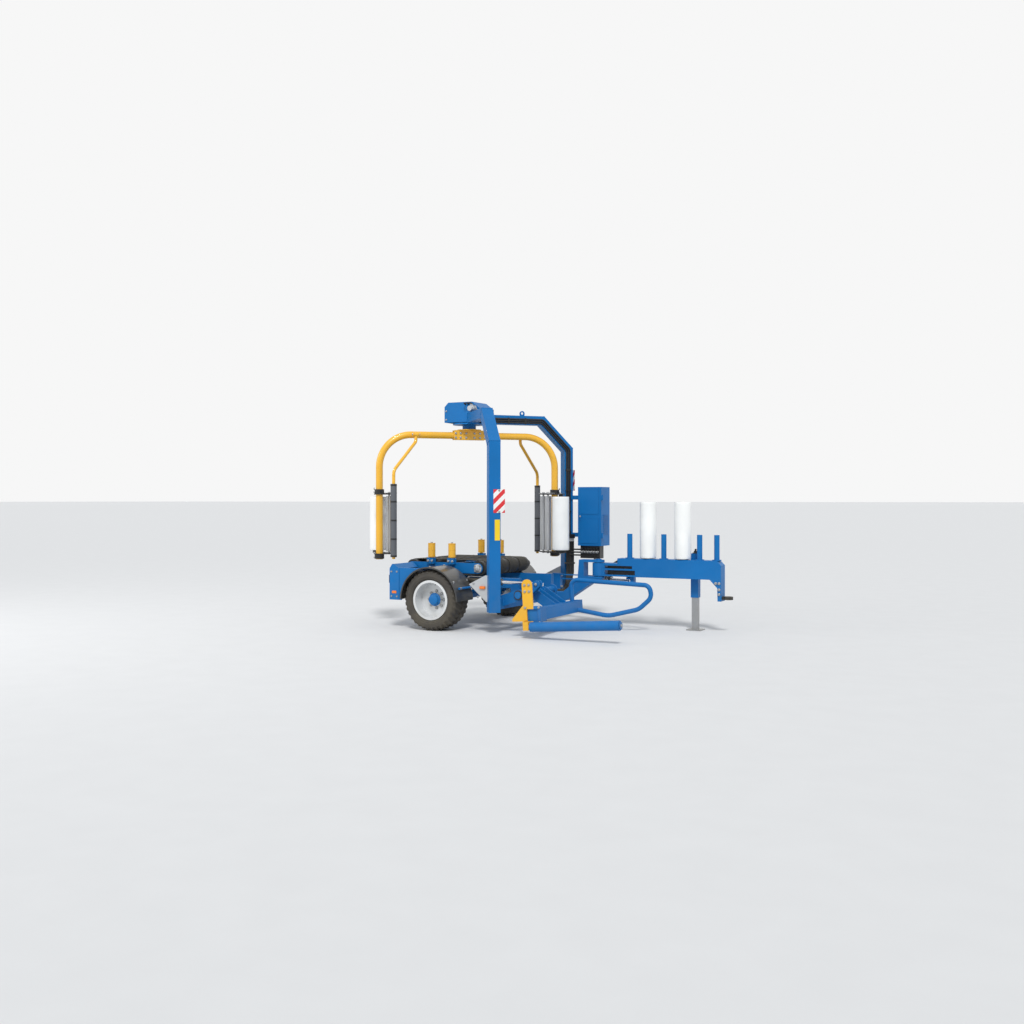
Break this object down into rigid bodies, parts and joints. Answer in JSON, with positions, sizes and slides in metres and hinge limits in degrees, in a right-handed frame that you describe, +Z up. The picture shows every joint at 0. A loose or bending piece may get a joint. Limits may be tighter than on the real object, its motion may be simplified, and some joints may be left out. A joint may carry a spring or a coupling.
{
  "type": "bale wrapper",
  "caption": "Trailed round-bale wrapper with an overhead film rotor, tilting roller table, side loader, swinging drawbar and spare film pegs.",
  "frame": {"origin": "on the ground, under the middle of the machine's outline", "axes": "+X forwards to the tow eye, +Y to the machine's left, +Z up"},
  "size_m": [4.9616, 2.6299, 3.08],
  "materials": {
    "blue_paint": "gloss sprayed paint",
    "yellow_paint": "gloss sprayed paint",
    "black_paint": "satin paint",
    "silver_paint": "silver wheel lacquer",
    "motor_metal": "cast, satin",
    "bright_rod": "polished rod",
    "zinc": "galvanised",
    "stretch_metal": "turned and ribbed",
    "tyre_rubber": "dusty rubber",
    "belt_rubber": "ribbed belting",
    "roller_black": "satin paint",
    "sleeve_foam": "grey closed foam",
    "film": "wound stretch film",
    "hose_rubber": "hydraulic hose",
    "lamp_red": "lens",
    "plate_white": "reflective striped plate",
    "grey_plate": "light grey paint"
  },
  "bodies": {
    "chassis": {"chassis_frame": "blue_paint", "arch_frame": "blue_paint", "gearbox_cover": "blue_paint", "gearbox_motor": "motor_metal", "mudguards": "black_paint", "rear_panels": "blue_paint", "rear_lamps": "lamp_red", "marker_plates": "grey_plate", "hazard_plates": "plate_white", "cabinet_box": "blue_paint", "valve_block": "black_paint", "frame_brackets": "blue_paint", "arch_hoses": "hose_rubber"},
    "wheel_right": {"tyre_right": "tyre_rubber", "rim_right": "silver_paint"},
    "wheel_left": {"tyre_left": "tyre_rubber", "rim_left": "silver_paint"},
    "rotor": {"rotor_arms": "yellow_paint", "dispensers": "black_paint", "stretch_rollers": "stretch_metal"},
    "film_roll_front": {"film_roll_front": "film"},
    "film_roll_rear": {"film_roll_rear": "film"},
    "trip_front": {"trip_bar_front": "yellow_paint", "trip_sleeve_front": "sleeve_foam"},
    "trip_rear": {"trip_bar_rear": "yellow_paint", "trip_sleeve_rear": "sleeve_foam"},
    "table": {"table_frame": "blue_paint", "table_rollers": "roller_black", "table_belts": "belt_rubber", "guide_rollers": "yellow_paint"},
    "tilt_barrel": {"tilt_barrel": "black_paint"},
    "tilt_rod": {"tilt_rod": "bright_rod"},
    "loader": {"loader_frame": "blue_paint", "loader_hoop": "blue_paint"},
    "loader_arm": {"loader_arm": "yellow_paint"},
    "outer_roller": {"outer_roller": "blue_paint"},
    "lift_barrel": {"lift_barrel": "black_paint"},
    "lift_rod": {"lift_rod": "bright_rod"},
    "drawbar": {"drawbar": "blue_paint", "tow_eye": "black_paint", "spare_rolls": "film"},
    "jack": {"jack_leg": "zinc"},
    "swing_barrel": {"swing_barrel": "black_paint"},
    "swing_rod": {"swing_rod": "bright_rod"},
    "cabinet_door": {"cabinet_door": "blue_paint"}
  },
  "joints": [
    {"name": "wheel_right_turn", "type": "hinge", "parent": "chassis", "child": "wheel_right", "pos_m": [-1.12117, -0.945, 0.4], "axis": [0, 1, 0], "continuous": true},
    {"name": "wheel_left_turn", "type": "hinge", "parent": "chassis", "child": "wheel_left", "pos_m": [-1.12117, 1.075, 0.4], "axis": [0, 1, 0], "continuous": true},
    {"name": "rotor_turn", "type": "hinge", "parent": "chassis", "child": "rotor", "pos_m": [-1.20117, 0.065, 2.62], "axis": [0, 0, 1], "continuous": true},
    {"name": "film_front_turn", "type": "hinge", "parent": "rotor", "child": "film_roll_front", "pos_m": [-0.04152, 0.63069, 1.01], "axis": [0, 0, 1], "continuous": true},
    {"name": "film_rear_turn", "type": "hinge", "parent": "rotor", "child": "film_roll_rear", "pos_m": [-2.36083, -0.50069, 1.01], "axis": [0, 0, 1], "continuous": true},
    {"name": "trip_front_swing", "type": "hinge", "parent": "rotor", "child": "trip_front", "pos_m": [-0.71327, 0.69432, 2.62], "axis": [-0.7071, -0.7071, 0], "range_deg": [0, 10]},
    {"name": "trip_rear_swing", "type": "hinge", "parent": "rotor", "child": "trip_rear", "pos_m": [-1.68908, -0.56432, 2.62], "axis": [0.7071, 0.7071, 0], "range_deg": [0, 10]},
    {"name": "table_tilt", "type": "hinge", "parent": "chassis", "child": "table", "pos_m": [-1.82117, 0.065, 0.61], "axis": [0, -1, 0], "range_deg": [0, 40]},
    {"name": "tilt_barrel_hinge", "type": "hinge", "parent": "chassis", "child": "tilt_barrel", "pos_m": [-0.91117, 0.065, 0.52], "axis": [0, -1, 0], "range_deg": [-17.51, 0.5]},
    {"name": "tilt_rod_slide", "type": "slide", "parent": "tilt_barrel", "child": "tilt_rod", "axis": [-0.9873, 0, 0.1587], "range_m": [-0.002, 0.1498]},
    {"name": "loader_lift", "type": "hinge", "parent": "chassis", "child": "loader", "pos_m": [0.07883, 0.065, 0.5], "axis": [0, -1, 0], "range_deg": [-4, 101]},
    {"name": "lift_barrel_hinge", "type": "hinge", "parent": "chassis", "child": "lift_barrel", "pos_m": [-0.87117, -0.615, 0.64], "axis": [0, -1, 0], "range_deg": [-1.79, 0.55]},
    {"name": "lift_rod_slide", "type": "slide", "parent": "lift_barrel", "child": "lift_rod", "axis": [0.9999, 0, -0.0139], "range_m": [-0.2759, 0.0128]},
    {"name": "loader_clamp", "type": "slide", "parent": "loader", "child": "loader_arm", "axis": [0, 1, 0], "range_m": [0, 0.45]},
    {"name": "outer_roller_turn", "type": "hinge", "parent": "loader_arm", "child": "outer_roller", "pos_m": [0.42919, -1.255, 0.14858], "axis": [0.9976, 0, 0.0698], "continuous": true},
    {"name": "drawbar_swing", "type": "hinge", "parent": "chassis", "child": "drawbar", "pos_m": [0.62883, 0.415, 0.685], "axis": [0, 0, 1], "range_deg": [-12, 14]},
    {"name": "swing_barrel_hinge", "type": "hinge", "parent": "chassis", "child": "swing_barrel", "pos_m": [0.17883, 0.865, 0.62], "axis": [0, 0, 1], "range_deg": [-4.82, 5.54]},
    {"name": "swing_rod_slide", "type": "slide", "parent": "swing_barrel", "child": "swing_rod", "axis": [0.943, -0.3328, 0], "range_m": [-0.0698, 0.0601]},
    {"name": "jack_slide", "type": "slide", "parent": "drawbar", "child": "jack", "axis": [0, 0, 1], "range_m": [0, 0.3]},
    {"name": "cabinet_door_hinge", "type": "hinge", "parent": "chassis", "child": "cabinet_door", "pos_m": [0.43283, 1.007, 1.06], "axis": [0, 0, 1], "range_deg": [0, 110]}
  ],
  "couplings": [
    {"joint": "tilt_barrel_hinge", "follows": "table_tilt", "ratio": -0.42518},
    {"joint": "tilt_rod_slide", "follows": "table_tilt", "m_per_rad": 0.21173},
    {"joint": "lift_barrel_hinge", "follows": "loader_lift", "ratio": -0.012788},
    {"joint": "lift_rod_slide", "follows": "loader_lift", "m_per_rad": -0.15539},
    {"joint": "swing_barrel_hinge", "follows": "drawbar_swing", "ratio": 0.36035},
    {"joint": "swing_rod_slide", "follows": "drawbar_swing", "m_per_rad": -0.27747}
  ]
}
